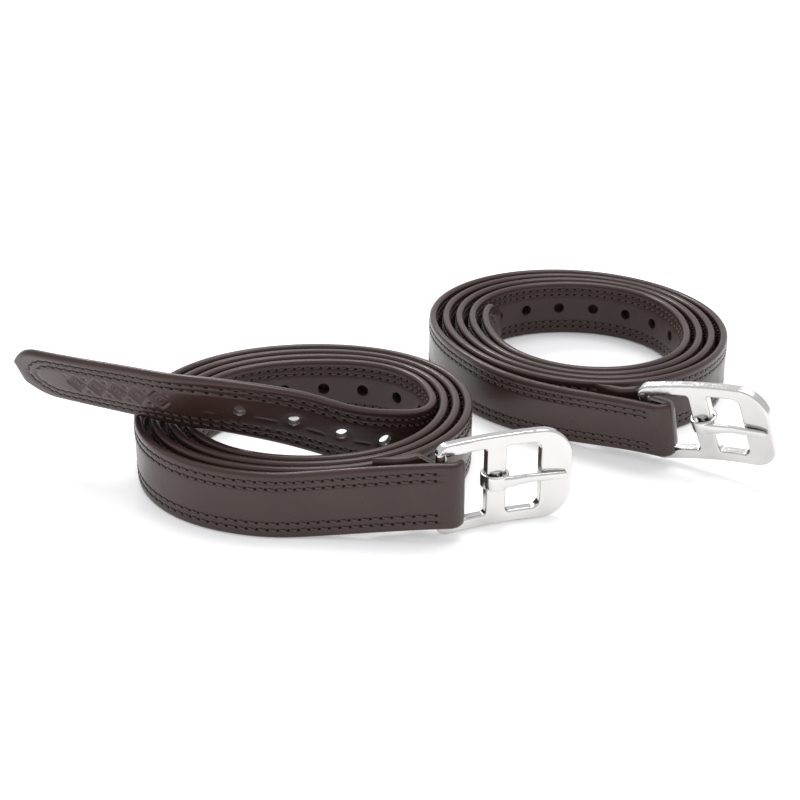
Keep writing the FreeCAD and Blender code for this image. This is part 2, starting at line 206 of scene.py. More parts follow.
# The front strap's free end, laid out past its own coil.
FRONT_TAIL = (
    (8.31, -55.92),
    (-3.19, -62.42),
    (-19.19, -67.92),
    (-35.19, -70.92),
    (-52.19, -73.42),
    (-70.19, -71.42),
    (-91.19, -61.92),
    (-116.19, -49.42),
    (-141.19, -36.42),
)

# ---- the set ----
FLOOR_SIZE = 12000.0
FLOOR_DROP = 0.05

# From here on lengths are metres. The floor's painted glow, which washes out its shadows, is left
# out within SHADE_END of the rear coil's middle so the shade inside that coil shows, and is full
# from GLOW_START outwards.
SHADE_END = 0.04
GLOW_START = 0.07
GLOW = 0.33
SKY_COLOUR = (0.96, 0.97, 1.0, 1.0)
SKY_STRENGTH = 0.8
CAMERA_PLACE = (0.00231, -0.53792, 0.2445)
CAMERA_PITCH = 24.0
CAMERA_LENS = 63.0
CAMERA_SENSOR = 36.0


def smooth_step(value):
    t = np.clip(value, 0.0, 1.0)
    return t * t * (3.0 - 2.0 * t)


def bell(offset, width):
    """1 at no offset, falling smoothly to 0."""
    return np.exp(-((offset / width) ** 2))


def by_direction(values, angle):
    """The smooth closed curve through one value for each equal step of direction."""
    count = len(values)
    total = np.zeros_like(angle)
    for index, value in enumerate(values):
        half = (angle - 2.0 * math.pi * index / count) / 2.0
        near = np.abs(np.sin(half)) < 1e-9
        safe = np.where(near, 1.0, half)
        weight = np.sin(count * safe) / (count * np.tan(safe))
        total += value * np.where(near, 1.0, weight)
    return total


class Spline:
    """A smooth plan curve through points, read by distance along it."""

    def __init__(self, points):
        self.points = np.array(points, float)
        steps = np.linalg.norm(np.diff(self.points, axis=0), axis=1)
        self.knots = np.concatenate(([0.0], np.cumsum(steps)))
        self.bends = self.second_derivatives(steps)
        self.fine = np.linspace(0.0, self.knots[-1], int(self.knots[-1] * 4))
        self.places = self.at_parameter(self.fine)[0]
        runs = np.linalg.norm(np.diff(self.places, axis=0), axis=1)
        self.lengths = np.concatenate(([0.0], np.cumsum(runs)))
        self.length = self.lengths[-1]

    def second_derivatives(self, steps):
        count = len(self.points)
        matrix = np.eye(count)
        target = np.zeros((count, 2))
        slopes = np.diff(self.points, axis=0) / steps[:, None]
        for index in range(1, count - 1):
            before = steps[index - 1]
            after = steps[index]
            matrix[index, index - 1] = before
            matrix[index, index] = 2.0 * (before + after)
            matrix[index, index + 1] = after
            target[index] = 6.0 * (slopes[index] - slopes[index - 1])
        return np.linalg.solve(matrix, target)

    def at_parameter(self, parameter):
        """Places and unnormalised tangents at chord-length parameters."""
        index = np.clip(np.searchsorted(self.knots, parameter) - 1, 0, len(self.knots) - 2)
        start = self.knots[index]
        step = self.knots[index + 1] - start
        b = ((parameter - start) / step)[:, None]
        a = 1.0 - b
        step = step[:, None]
        first, last = self.points[index], self.points[index + 1]
        bend_first, bend_last = self.bends[index], self.bends[index + 1]
        curve = (a ** 3 - a) * bend_first + (b ** 3 - b) * bend_last
        place = a * first + b * last + curve * step ** 2 / 6.0
        turn = (3.0 * b ** 2 - 1.0) * bend_last - (3.0 * a ** 2 - 1.0) * bend_first
        tangent = (last - first) / step + turn * step / 6.0
        return place, tangent

    def at_distance(self, distance):
        parameter = np.interp(distance, self.lengths, self.fine)
        place, tangent = self.at_parameter(parameter)
        return place, tangent / np.linalg.norm(tangent, axis=1)[:, None]

    def distance_to_point(self, index):
        return float(np.interp(self.knots[index], self.fine, self.lengths))


class StrapPath:
    """A strap's lower edge from its turned-back leaf to its tip, and the frame it carries."""

    def __init__(self, prefix, centre, radii, pitches, angles, bar, heading, lift, lean,
                 first_hole, swing, tip, slide, tail=()):
        self.prefix = prefix
        self.body = prefix + "_strap"
        self.centre = centre
        self.radii = radii
        self.pitches = pitches
        self.angles = angles
        self.lift = lift
        self.lean = lean
        self.first_hole = first_hole
        self.has_tail = bool(tail)
        turn = math.radians(heading)
        self.towards = np.array((math.cos(turn), math.sin(turn), 0.0))
        self.side = np.array((math.sin(turn), -math.cos(turn), 0.0))
        self.bar = np.array((bar[0], bar[1], 0.0))
        fold = self.leaf_points() + self.loop_points()
        points = fold + self.coil_points() + list(tail)
        self.line = Spline(points)
        self.length = self.line.length
        self.face_start = self.line.distance_to_point(len(fold) - 1)
        self.face_point = np.array((fold[-1][0], fold[-1][1], 0.0))
        tilt = math.radians(lean)
        upwards = np.array((0.0, 0.0, 1.0))
        self.bar_up = upwards * math.cos(tilt) + self.side * math.sin(tilt)
        self.bar_out = self.side * math.cos(tilt) - upwards * math.sin(tilt)
        self.bar_foot = self.tilted(self.bar[None, :])[0]
        self.buckle = self.buckle_frame(math.radians(swing), math.radians(tip), slide)
        self.stitched_from = self.face_start + STITCH_FROM_BAR
        self.backed_from = self.face_start + LEAF_LENGTH + LOOP_SLACK + STITCH_BEHIND_LEAF

    def buckle_frame(self, swing, tip, slide):
        """The buckle's foot and its directions along, back and up, as it hangs in the fold."""
        ahead = self.towards * math.cos(tip) + self.bar_up * math.sin(tip)
        up = self.bar_up * math.cos(tip) - self.towards * math.sin(tip)
        along = ahead * math.cos(swing) - self.bar_out * math.sin(swing)
        back = -self.bar_out * math.cos(swing) - ahead * math.sin(swing)
        middle = self.bar_foot + self.bar_up * MIDDLE + self.towards * slide
        return middle - up * (FRAME_HEIGHT / 2.0), np.array((along, back, up))

    def at_bar(self, along, out):
        place = self.bar + self.towards * along + self.side * out
        return place[0], place[1]

    def leaf_points(self):
        """The leaf behind the strap, which closes up to it away from the bar."""
        closed = LOOP_RADIUS - STRAP_THICKNESS - LEAF_SPACING
        points = []
        for along in np.linspace(-LEAF_LENGTH, -1.0, 7):
            share = smooth_step((along + LEAF_OPEN + LEAF_WEDGE) / LEAF_WEDGE)
            points.append(self.at_bar(along, closed - (closed + LOOP_RADIUS) * share))
        return points

    def loop_points(self):
        """Half a turn past the buckle's bar, from the back to the face side."""
        points = []
        for turn in np.linspace(0.0, math.pi, 9):
            along = LOOP_SLACK + LOOP_RADIUS * math.sin(turn)
            points.append(self.at_bar(along, -LOOP_RADIUS * math.cos(turn)))
        return points

    def coil_points(self):
        """The wraps of the coil, from the outermost one inwards."""
        start, end = self.angles
        count = int(round((start - end) / COIL_STEP))
        degrees = np.linspace(start, end, count + 1)
        angle = np.radians(degrees)
        turns = (start - degrees) / 360.0
        radius = by_direction(self.radii, angle) - turns * by_direction(self.pitches, angle)
        x = self.centre[0] + radius * np.cos(angle)
        y = self.centre[1] + radius * np.sin(angle)
        return list(zip(x, y))

    def height_and_lean(self, distance):
        """How high the lower edge stands, and how far the face tips outwards."""
        from_bar = distance - self.face_start
        height = self.lift * (1.0 - smooth_step(from_bar / LIFT_RUN))
        lean = self.lean * (1.0 - smooth_step(from_bar / LEAN_RUN))
        height = height + np.sin(np.radians(lean)) * STRAP_THICKNESS / 2.0
        if self.has_tail:
            to_tip = self.length - distance
            climb = (TAIL_CLIMB_START - to_tip) / (TAIL_CLIMB_START - TAIL_CLIMB_END)
            height = height + TAIL_HEIGHT * smooth_step(climb)
            roll = (TAIL_LEAN_START - to_tip) / (TAIL_LEAN_START - TAIL_LEAN_SETTLED)
            lean = lean + TAIL_FIRST_LEAN * smooth_step(roll)
            lean = lean + TAIL_FURTHER_LEAN * smooth_step(1.0 - to_tip / TAIL_LEAN_SETTLED)
        return height, np.radians(lean)

    def tilted(self, places):
        """Where ground points near the bar go when the fold tips over with the strap."""
        offset = places - self.face_point
        along = (offset @ self.towards)[:, None] * self.towards
        out = (offset @ self.side)[:, None] * self.bar_out
        height = self.height_and_lean(np.array([self.face_start]))[0][0]
        return self.face_point + np.array((0.0, 0.0, height)) + along + out

    def frames(self, distance):
        """Lower edge, outward normal and upward direction for an array of distances."""
        plan, flat = self.line.at_distance(distance)
        nothing = np.zeros(len(distance))
        place = np.column_stack((plan, nothing))
        tangent = np.column_stack((flat, nothing))
        normal = np.column_stack((-flat[:, 1], flat[:, 0], nothing))
        height, lean = self.height_and_lean(distance)
        step = 0.05
        rise = self.height_and_lean(distance + step)[0] - self.height_and_lean(distance - step)[0]
        slope = np.arctan(rise / (2.0 * step))[:, None]
        upright = np.cos(slope) * np.array((0.0, 0.0, 1.0)) - np.sin(slope) * tangent
        lean = lean[:, None]
        up = upright * np.cos(lean) + normal * np.sin(lean)
        out = normal * np.cos(lean) - upright * np.sin(lean)
        origin = place + np.column_stack((nothing, nothing, height))
        folded = distance < self.face_start
        along_fold = (normal @ self.towards)[:, None] * self.towards
        out_fold = (normal @ self.side)[:, None] * self.bar_out
        origin[folded] = self.tilted(place)[folded]
        out[folded] = (along_fold + out_fold)[folded]
        up[folded] = self.bar_up
        return origin, out, up

    def width_share(self, distance):
        closing = np.clip(1.0 - (self.length - distance) / TIP_TAPER, 0.0, 1.0)
        return 1.0 - (1.0 - TIP_END_SHARE) * closing ** TIP_TAPER_POWER

    def thinned(self, distance, out):
        """The distance out once the end of the leaf is pared down from its outer side."""
        share = LEAF_SKIVE_SHARE + (1.0 - LEAF_SKIVE_SHARE) * smooth_step(distance / LEAF_SKIVE)
        return (out + FACE) * share - FACE

    def place(self, distance, out, height):
        """Points out from the middle of the thickness, at heights up the strap's width."""
        distance, out, height = np.broadcast_arrays(distance, out, height)
        out = self.thinned(distance, out)
        shape = distance.shape
        flat = distance.ravel()
        origin, normal, up = self.frames(flat)
        raised = MIDDLE + (height.ravel() - MIDDLE) * self.width_share(flat)
        where = origin + normal * out.ravel()[:, None] + up * raised[:, None]
        return where.reshape(shape + (3,))

    def hole_distances(self):
        return self.length - self.first_hole - HOLE_PITCH * np.arange(HOLE_COUNT)

    # ---- the surface's relief ----
    def inset(self, distance, height):
        """How far a point lies inside the stitched outline, which turns round at the tip."""
        past = np.maximum(distance - (self.length - TURN_FROM_TIP), 0.0) / TURN_STRETCH
        return MIDDLE - np.hypot(past, height - MIDDLE)

    def grooves(self, distance, height, sewn_from):
        """The sunk lines that the rows of stitching pull into the leather."""
        inset = self.inset(distance, height)
        depth = 0.0
        for row in STITCH_ROWS:
            depth = depth + GROOVE_DEPTH * bell(inset - row, GROOVE_WIDTH)
        between = sum(STITCH_ROWS) / 2.0
        depth = depth + VALLEY_DEPTH * bell(inset - between, VALLEY_WIDTH)
        return depth * smooth_step((distance - sewn_from + GROOVE_AHEAD) / GROOVE_FADE)

    def hole_rims(self, distance, height):
        """The leather pressed down round each punched hole."""
        depth = 0.0
        for hole in self.hole_distances():
            reach = np.hypot(distance - hole, height - MIDDLE)
            depth = depth + HOLE_RIM * bell(reach - HOLE_DIAMETER / 2.0, HOLE_RIM_WIDTH)
        return depth

    def stamped(self, distance, height):
        """A dash between holes, and a chain of lozenges near the tip."""
        depth = 0.0
        dash = bell(height - MIDDLE + DASH_DROP, DASH_WIDTH)
        for hole in self.hole_distances():
            along = np.maximum(np.abs(distance - hole - HOLE_PITCH / 2.0) - DASH_LENGTH / 2.0, 0.0)
            depth = depth + DASH_DEPTH * bell(along, DASH_END_WIDTH) * dash
        to_tip = self.length - distance
        zone = smooth_step((ORNAMENT_START - to_tip) / ORNAMENT_FADE)
        zone = zone * smooth_step((to_tip - ORNAMENT_END) / ORNAMENT_FADE)
        cell = (to_tip - ORNAMENT_END) / LOZENGE_PITCH
        across = (cell - np.floor(cell) - 0.5) * 2.0
        upwards = (height - MIDDLE) / LOZENGE_HALF_HEIGHT
        outwards = np.abs(across) * LOZENGE_SLOPE + np.abs(upwards)
        dot = np.hypot(across * LOZENGE_PITCH / 2.0, upwards * LOZENGE_HALF_HEIGHT)
        corner = np.hypot((np.abs(across) - 1.0) * LOZENGE_PITCH / 2.0,
                          (np.abs(upwards) - LOZENGE_CORNER) * LOZENGE_HALF_HEIGHT)
        marks = bell(outwards - LOZENGE_OUTER, OUTER_LINE_WIDTH)
        marks = marks + bell(outwards - LOZENGE_INNER, INNER_LINE_WIDTH)
        marks = marks + bell(dot, DOT_WIDTH) + bell(corner, CORNER_WIDTH)
        return depth + STAMP_DEPTH * zone * np.clip(marks, 0.0, 1.0)

    def away_from_edge(self, distance, height):
        """0 at the strap's edge and 1 inside it, where the relief has its full depth."""
        return smooth_step((self.inset(distance, height) - RELIEF_FROM) / RELIEF_FADE)

    def face_out(self, distance, height):
        """How far out the face lies, with its grooves, rims and stamping."""
        sunk = self.grooves(distance, height, self.stitched_from)
        sunk = sunk + self.hole_rims(distance, height) + self.stamped(distance, height)
        return FACE - sunk * self.away_from_edge(distance, height)

    def back_out(self, distance, height):
        """How far out the back lies."""
        sunk = self.grooves(distance, height, self.backed_from) + self.hole_rims(distance, height)
        return -FACE + sunk * self.away_from_edge(distance, height)


front = StrapPath(
    "front",
    centre=(-32.69, -47.42),
    radii=(64.7, 64.8, 62.6, 64.6, 65.9, 64.8, 60.2, 62.5),
    pitches=(4.65, 4.6, 5.6, 5.5, 5.8, 5.6, 4.45, 4.5),
    angles=(-88.0, -1438.0),
    bar=(16.21, -106.42),
    heading=-3.0,
    lift=5.2,
    lean=0.0,
    first_hole=92.0,
    swing=21.7,
    tip=0.0,
    slide=0.2,
    tail=FRONT_TAIL,
)
rear = StrapPath(
    "rear",
    centre=(79.61, 45.68),
    radii=(67.3, 64.6, 67.4, 66.5, 63.7, 66.6, 76.4, 74.0),
    pitches=(5.3, 4.7, 6.03, 6.0, 5.85, 5.05, 4.6, 4.9),
    angles=(-108.0, -1660.0),
    bar=(102.81, -45.92),
    heading=-38.0,
    lift=3.7,
    lean=18.0,
    first_hole=83.5,
    swing=6.0,
    tip=9.0,
    slide=-1.6,
)


# ---- meshes ----
def new_piece(name, vertices, faces, material, crease=50.0):
    """A smooth-shaded mesh object from millimetre vertices."""
    mesh = bpy.data.meshes.new(name)
    mesh.from_pydata((np.asarray(vertices) * MM).tolist(), [], faces)
    mesh.materials.append(material)
    mesh.polygons.foreach_set("use_smooth", [True] * len(mesh.polygons))
    mesh.set_sharp_from_angle(angle=math.radians(crease))
    piece = bpy.data.objects.new(name, mesh)
    bpy.context.scene.collection.objects.link(piece)
    return piece


def grid_faces(rings, count, first=0, capped=True):
    """Quads between closed rings of vertices, with a cap at each end."""
    faces = []
    for ring in range(rings - 1):
        low = first + ring * count
        for index in range(count):
            after = (index + 1) % count
            faces.append((low + index, low + after, low + count + after, low + count + index))
    if capped:
        faces.append(tuple(range(first + count - 1, first - 1, -1)))
        last = first + (rings - 1) * count
        faces.append(tuple(range(last, last + count)))
    return faces


def stations(path, start, end):
    """Distances along a strap, closer where the surface has fine shapes."""
    holes_from = path.length - path.first_hole - HOLE_PITCH * HOLE_COUNT
    zones = (
        (path.face_start + FOLD_RUN, STEP_IN_FOLD),
        (holes_from, STEP_IN_COIL),
        (path.length - ORNAMENT_START - ORNAMENT_MARGIN, STEP_AT_HOLES),
        (path.length - ORNAMENT_END + ORNAMENT_MARGIN, STEP_AT_ORNAMENT),
        (path.length, STEP_AT_TIP),
    )
    found = [start]
    for limit, step in zones:
        while found[-1] < min(limit, end) - LEAST_STEP:
            found.append(found[-1] + step)
    found = [distance for distance in found if distance < end - LEAST_STEP]
    return np.array(found + [end])


def edge_arc(level, from_face):
    """The rolled edge between face and back, as (out, height) pairs."""
    pairs = []
    for turn in np.linspace(0.0, math.pi, 9)[1:-1]:
        out = FACE * math.cos(turn)
        height = EDGE_ROLL * (1.0 - math.sin(turn))
        pairs.append((out, height if level == "lower" else STRAP_WIDTH - height))
    return pairs if from_face else pairs[::-1]


def face_heights():
    """Heights across the face, from the lower edge to the upper one."""
    far_side = STRAP_WIDTH - FACE_CENTRE_FROM
    centre = np.linspace(FACE_CENTRE_FROM, far_side, FACE_CENTRE_LINES).tolist()
    return list(FACE_LINES) + centre + [STRAP_WIDTH - height for height in reversed(FACE_LINES)]


def cover_section(hollow):
    """The cover's outline: for each point its kind, its out distance and its height."""
    points = [("face", FACE, height) for height in face_heights()]
    points += [("edge", out, height) for out, height in edge_arc("upper", True)]
    points += [("back", -FACE, STRAP_WIDTH - height) for height in LIP_LINES]
    if hollow:
        rounded = -FACE + SOFT_EDGE
        inside_lip = -FACE + LIP_LEATHER
        inside_face = FACE - FACE_LEATHER
        high = STRAP_WIDTH - EDGE_LEATHER
        points += [
            ("edge", rounded, STRAP_WIDTH - LIP_WIDTH),
            ("edge", inside_lip, STRAP_WIDTH - LIP_WIDTH),
            ("edge", inside_lip, high),
            ("edge", inside_face, high),
            ("edge", inside_face, EDGE_LEATHER),
            ("edge", inside_lip, EDGE_LEATHER),
            ("edge", inside_lip, LIP_WIDTH),
            ("edge", rounded, LIP_WIDTH),
        ]
    points += [("back", -FACE, height) for height in reversed(LIP_LINES)]
    points += [("edge", out, height) for out, height in edge_arc("lower", False)]
    return points


def swept(path, section, distances, nose=None):
    """Places a section at each distance. A nose rounds the thickness off towards the tip."""
    kinds = [kind for kind, _, _ in section]
    outs = np.array([out for _, out, _ in section])
    heights = np.array([height for _, _, height in section])
    along = np.repeat(distances[:, None], len(section), axis=1)
    tall = np.repeat(heights[None, :], len(distances), axis=0)
    out = np.repeat(outs[None, :], len(distances), axis=0)
    face = [index for index, kind in enumerate(kinds) if kind == "face"]
    back = [index for index, kind in enumerate(kinds) if kind == "back"]
    out[:, face] = path.face_out(along[:, face], tall[:, face])
    out[:, back] = path.back_out(along[:, back], tall[:, back])
    if nose is not None:
        out = out * nose[:, None]
    return path.place(along, out, tall).reshape(-1, 3)


def strap_cover(path, material):
    """The face leather, turned over both edges and closed round the tip."""
    open_section = cover_section(True)
    body = stations(path, START_OF_MESH, path.length - TIP_NOSE)
    vertices = swept(path, open_section, body)
    faces = grid_faces(len(body), len(open_section))
    name = path.prefix + "_cover"
    piece = new_piece(name, vertices, faces, material)
    cut(piece, hole_cutter(path), fold_cutter(path))
    join_in(piece, tip_nose(path, material))
    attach(piece, path.body)
    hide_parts(path.prefix + "_cover_leather")
    return piece


def tip_nose(path, material):
    """The last stretch of the cover, where it closes round the tip."""
    section = cover_section(False)
    turn = np.linspace(0.0, math.pi / 2.0, 9)
    distances = path.length - TIP_NOSE + (TIP_NOSE - TIP_NOSE_SHORT) * np.sin(turn)
    closing = np.cos(turn) ** TIP_NOSE_POWER
    thickness = TIP_NOSE_THICKNESS + (1.0 - TIP_NOSE_THICKNESS) * closing
    vertices = swept(path, section, distances, thickness)
    faces = grid_faces(len(distances), len(section))
    return new_piece("nose", vertices, faces, material)


def join_in(piece, addition):
    """Adds another object's mesh to the piece, and drops the other object."""
    together = bmesh.new()
    together.from_mesh(piece.data)
    together.from_mesh(addition.data)
    together.to_mesh(piece.data)
    together.free()
    bpy.data.objects.remove(addition)


def strap_lining(path, part, start, end, material):
    """One length of the lining let in between the cover's two turned-over edges."""
    low = LIP_WIDTH + LAYER_GAP
    top = -FACE + LIP_LEATHER - LAYER_GAP
    heights = [low + SOFT_EDGE, *LINING_LINES, MIDDLE]
    heights += [STRAP_WIDTH - height for height in reversed(heights[:-1])]
    section = [("back", -FACE, height) for height in reversed(heights)]
    section += [
        ("edge", -FACE + SOFT_EDGE, low),
        ("edge", top, low),
        ("edge", top, STRAP_WIDTH - low),
        ("edge", -FACE + SOFT_EDGE, STRAP_WIDTH - low),
    ]
    distances = stations(path, start, end)
    vertices = swept(path, section, distances)
    faces = grid_faces(len(distances), len(section))
    name = path.prefix + "_lining_" + part
    piece = new_piece(name, vertices, faces, material)
    cut(piece, hole_cutter(path), fold_cutter(path))
    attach(piece, path.body)
    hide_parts(name + "_length")
    return piece


def cylinder_between(centre, axis, radius, half_length, sides=40):
    """Rings of a cylinder about a centre, as vertices and faces."""
    axis = axis / np.linalg.norm(axis)
    across = np.cross(axis, (0.0, 0.0, 1.0))
    across /= np.linalg.norm(across)
    upward = np.cross(axis, across)
    turn = np.linspace(0.0, 2.0 * math.pi, sides, endpoint=False)[:, None]
    ring = radius * (np.cos(turn) * across + np.sin(turn) * upward)
    vertices = np.vstack((centre - axis * half_length + ring, centre + axis * half_length + ring))
    return vertices, grid_faces(2, sides)


def cutter_from(name, vertices, faces):
    """A bare mesh object from millimetre vertices, used only to cut others."""
    mesh = bpy.data.meshes.new(name)
    mesh.from_pydata((np.asarray(vertices) * MM).tolist(), [], faces)
    mesh.update()
    cutter = bpy.data.objects.new(name, mesh)
    bpy.context.scene.collection.objects.link(cutter)
    return cutter


def hole_cutter(path):
    """Every punched hole of a strap as one cutting object."""
    distances = path.hole_distances()
    origin, out, up = path.frames(distances)
    vertices = []
    faces = []
    for index in range(len(distances)):
        centre = origin[index] + up[index] * MIDDLE
        radius = HOLE_DIAMETER / 2.0
        ring, sides = cylinder_between(centre, out[index], radius, STRAP_THICKNESS)
        first = len(vertices)
        vertices += ring.tolist()
        faces += [tuple(first + corner for corner in face) for face in sides]
    return cutter_from(path.prefix + "_punches", vertices, faces)


def fold_cutter(path):
    """The cuts in the back of the fold, from just in front of the bar, for the side bars."""
    far = LOOP_SLACK + LOOP_RADIUS + STRAP_THICKNESS
    depth = LOOP_RADIUS + 2.0 * STRAP_THICKNESS
    vertices = []
    faces = []
    for edge, inwards in ((STRAP_WIDTH, -1.0), (0.0, 1.0)):
        outline = (
            (-NOTCH_LENGTH, edge - inwards),
            (-NOTCH_LENGTH, edge),
            (-NOTCH_LENGTH / 2.0, edge + inwards * (NOTCH_DEPTH - 1.0)),
            (-NOTCH_LENGTH / 4.0, edge + inwards * NOTCH_DEPTH),
            (far, edge + inwards * NOTCH_DEPTH),
            (far, edge - inwards),
        )
        start = path.bar_foot + path.bar_out * NOTCH_FRONT
        near = [start + path.towards * along + path.bar_up * height
                for along, height in outline]
        ring = near + [place - path.bar_out * depth for place in near]
        first = len(vertices)
        sides = grid_faces(2, len(outline), first=first)
        if inwards < 0.0:
            sides = [face[::-1] for face in sides]
        vertices += ring
        faces += sides
    return cutter_from(path.prefix + "_notches", vertices, faces)


def cut(piece, *cutters):
    """Takes each cutter out of the piece, then drops the cutter."""
    for cutter in cutters:
        modifier = piece.modifiers.new("cut", "BOOLEAN")
        modifier.operation = "DIFFERENCE"
        modifier.solver = "EXACT"
        modifier.object = cutter
    bpy.context.view_layer.update()
    depsgraph = bpy.context.evaluated_depsgraph_get()
    mesh = bpy.data.meshes.new_from_object(piece.evaluated_get(depsgraph))
    piece.modifiers.clear()
    piece.data = mesh
    for cutter in cutters:
        bpy.data.objects.remove(cutter)


# ---- stitching ----
def row_line(path, inset, level, start):
    """A row's line as closely spaced (distance, height) pairs, turning in at the tip."""
    turn_from = path.length - TURN_FROM_TIP
    straight = np.arange(start, turn_from, 0.5)
    reach = MIDDLE - inset
    turn = np.linspace(0.0, math.pi / 2.0, 40)
    distance = np.concatenate((straight, turn_from + TURN_STRETCH * reach * np.sin(turn)))
    fall = np.concatenate((np.full(len(straight), reach), reach * np.cos(turn)))
    sign = -1.0 if level == "lower" else 1.0
    return np.column_stack((distance, MIDDLE + sign * fall))


def along_row(line):
    """Evenly pitched places on a row's line, and the row's direction at each."""
    runs = np.linalg.norm(np.diff(line, axis=0), axis=1)
    travelled = np.concatenate(([0.0], np.cumsum(runs)))
    count = int(travelled[-1] / STITCH_PITCH)
    at = np.arange(count) * STITCH_PITCH
    ahead = np.minimum(at + DIRECTION_REACH, travelled[-1])
    behind = np.maximum(at - DIRECTION_REACH, 0.0)

    def read(where):
        return np.column_stack([np.interp(where, travelled, line[:, axis]) for axis in (0, 1)])

    direction = read(ahead) - read(behind)
    direction /= np.linalg.norm(direction, axis=1)[:, None]
    return read(at), read(at + STITCH_PITCH / 2.0), direction


def lay_on(path, side, centres, directions, template):
    """Copies template points (along, across, above) onto the face or back at each centre."""
    across = np.column_stack((-directions[:, 1], directions[:, 0]))
    spot = centres[:, None, :] + template[None, :, 0:1] * directions[:, None, :]
    spot = spot + template[None, :, 1:2] * across[:, None, :]
    distance, height = spot[..., 0], spot[..., 1]
    if side == "face":
        out = path.face_out(distance, height) + template[None, :, 2]
    else:
        out = path.back_out(distance, height) - template[None, :, 2]
    return path.place(distance, out, height)


def stitch_template():
    """A plump slanted stitch that rises from one needle hole and dives into the next."""
    rings = 7
    sides = 6
    points = []
    for share in np.linspace(-1.0, 1.0, rings):
        plump = math.sqrt(max(1.0 - share ** 4, 0.0))
        thick = STITCH_RADIUS * (STITCH_END_SHARE + (1.0 - STITCH_END_SHARE) * plump)
        lift = STITCH_RISE * (1.0 - share ** 2) - STITCH_SINK
        for index in range(sides):
            turn = 2.0 * math.pi * index / sides
            across = STITCH_SLANT * share + thick * math.cos(turn)
            points.append((share * STITCH_LENGTH / 2.0, across, lift + thick * math.sin(turn)))
    return np.array(points), grid_faces(rings, sides)


def hole_template():
    """A small needle hole drawn as a low dome on the surface, to carry the painted shade of its
    dark inside.
    """
    sides = 8
    points = [(0.0, 0.0, NEEDLE_DOME)]
    for index in range(sides):
        turn = 2.0 * math.pi * index / sides
        across = NEEDLE_HOLE_SHARE * NEEDLE_HOLE * math.sin(turn)
        points.append((NEEDLE_HOLE * math.cos(turn), across, NEEDLE_RIM))
    faces = [(0, index + 1, (index + 1) % sides + 1) for index in range(sides)]
    return np.array(points), faces


def repeated(faces, copies, size, first, flipped):
    """The template's faces for every copy, facing outwards on either side of the strap."""
    result = []
    for copy in range(copies):
        base = first + copy * size
        for face in faces:
            corners = tuple(base + corner for corner in face)
            result.append(corners[::-1] if flipped else corners)
    return result


def stitching(path, side, level, thread, needle):
    """Two rows of single stitches with their needle holes, whose dark is painted shade."""
    start = path.stitched_from if side == "face" else path.backed_from
    stitch, stitch_faces = stitch_template()
    hole, hole_faces = hole_template()
    vertices = np.empty((0, 3))
    faces = []
    flipped = side == "back"
    for inset in STITCH_ROWS:
        holes, middles, directions = along_row(row_line(path, inset, level, start))
        copies = ((middles, stitch, stitch_faces, 0), (holes, hole, hole_faces, 1))
        for places, template, template_faces, slot_index in copies:
            laid = lay_on(path, side, places, directions, template).reshape(-1, 3)
            count = len(template)
            more = repeated(template_faces, len(places), count, len(vertices), flipped)
            vertices = np.vstack((vertices, laid))
            faces += [(face, slot_index) for face in more]
    name = path.prefix + "_" + side + "_stitches_" + level
    piece = new_piece(name, vertices, [face for face, _ in faces], thread, crease=80.0)
    piece.data.materials.append(needle)
    piece.data.polygons.foreach_set("material_index", [index for _, index in faces])
    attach(piece, path.body)
    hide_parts(path.prefix + "_" + side + "_stitching_" + level)
    return piece


# ---- buckle tongue ----
def frame_middle(x):
    """How far back the middle of the bowed frame's thickness lies."""
    half = FRAME_LENGTH / 2.0
    radius = (half ** 2 + FRAME_BOW ** 2) / (2.0 * FRAME_BOW)
    offset = x - (half - BAR_RADIUS)
    return math.sqrt(radius ** 2 - offset ** 2) - (radius - FRAME_BOW)


def squared(value, power):
    """A sine or cosine raised to a power with its sign kept, which squares off an oval."""
    return math.copysign(abs(value) ** power, value)


def ring_band():
    """A flat band bent into a ring about the middle bar, with rounded edges."""
    middle_radius = (TONGUE_RING_RADIUS + TONGUE_RING_BORE) / 2.0
    half_band = (TONGUE_RING_RADIUS - TONGUE_RING_BORE) / 2.0
    around = 64
    section = 20
    vertices = []
    for index in range(around):
        turn = 2.0 * math.pi * index / around
        for corner in range(section):
            angle = 2.0 * math.pi * corner / section
            rise = squared(math.sin(angle), RING_BAND_SQUARENESS)
            radius = middle_radius + squared(math.cos(angle), RING_BAND_ROUNDNESS) * half_band
            x = MIDDLE_BAR + radius * math.cos(turn)
            y = frame_middle(MIDDLE_BAR) + radius * math.sin(turn)
            vertices.append((x, y, (FRAME_HEIGHT + rise * TONGUE_RING_HEIGHT) / 2.0))
    faces = grid_faces(around, section, capped=False)
    last = (around - 1) * section
    for corner in range(section):
        after = (corner + 1) % section
        faces.append((last + corner, last + after, after, corner))
    return vertices, faces


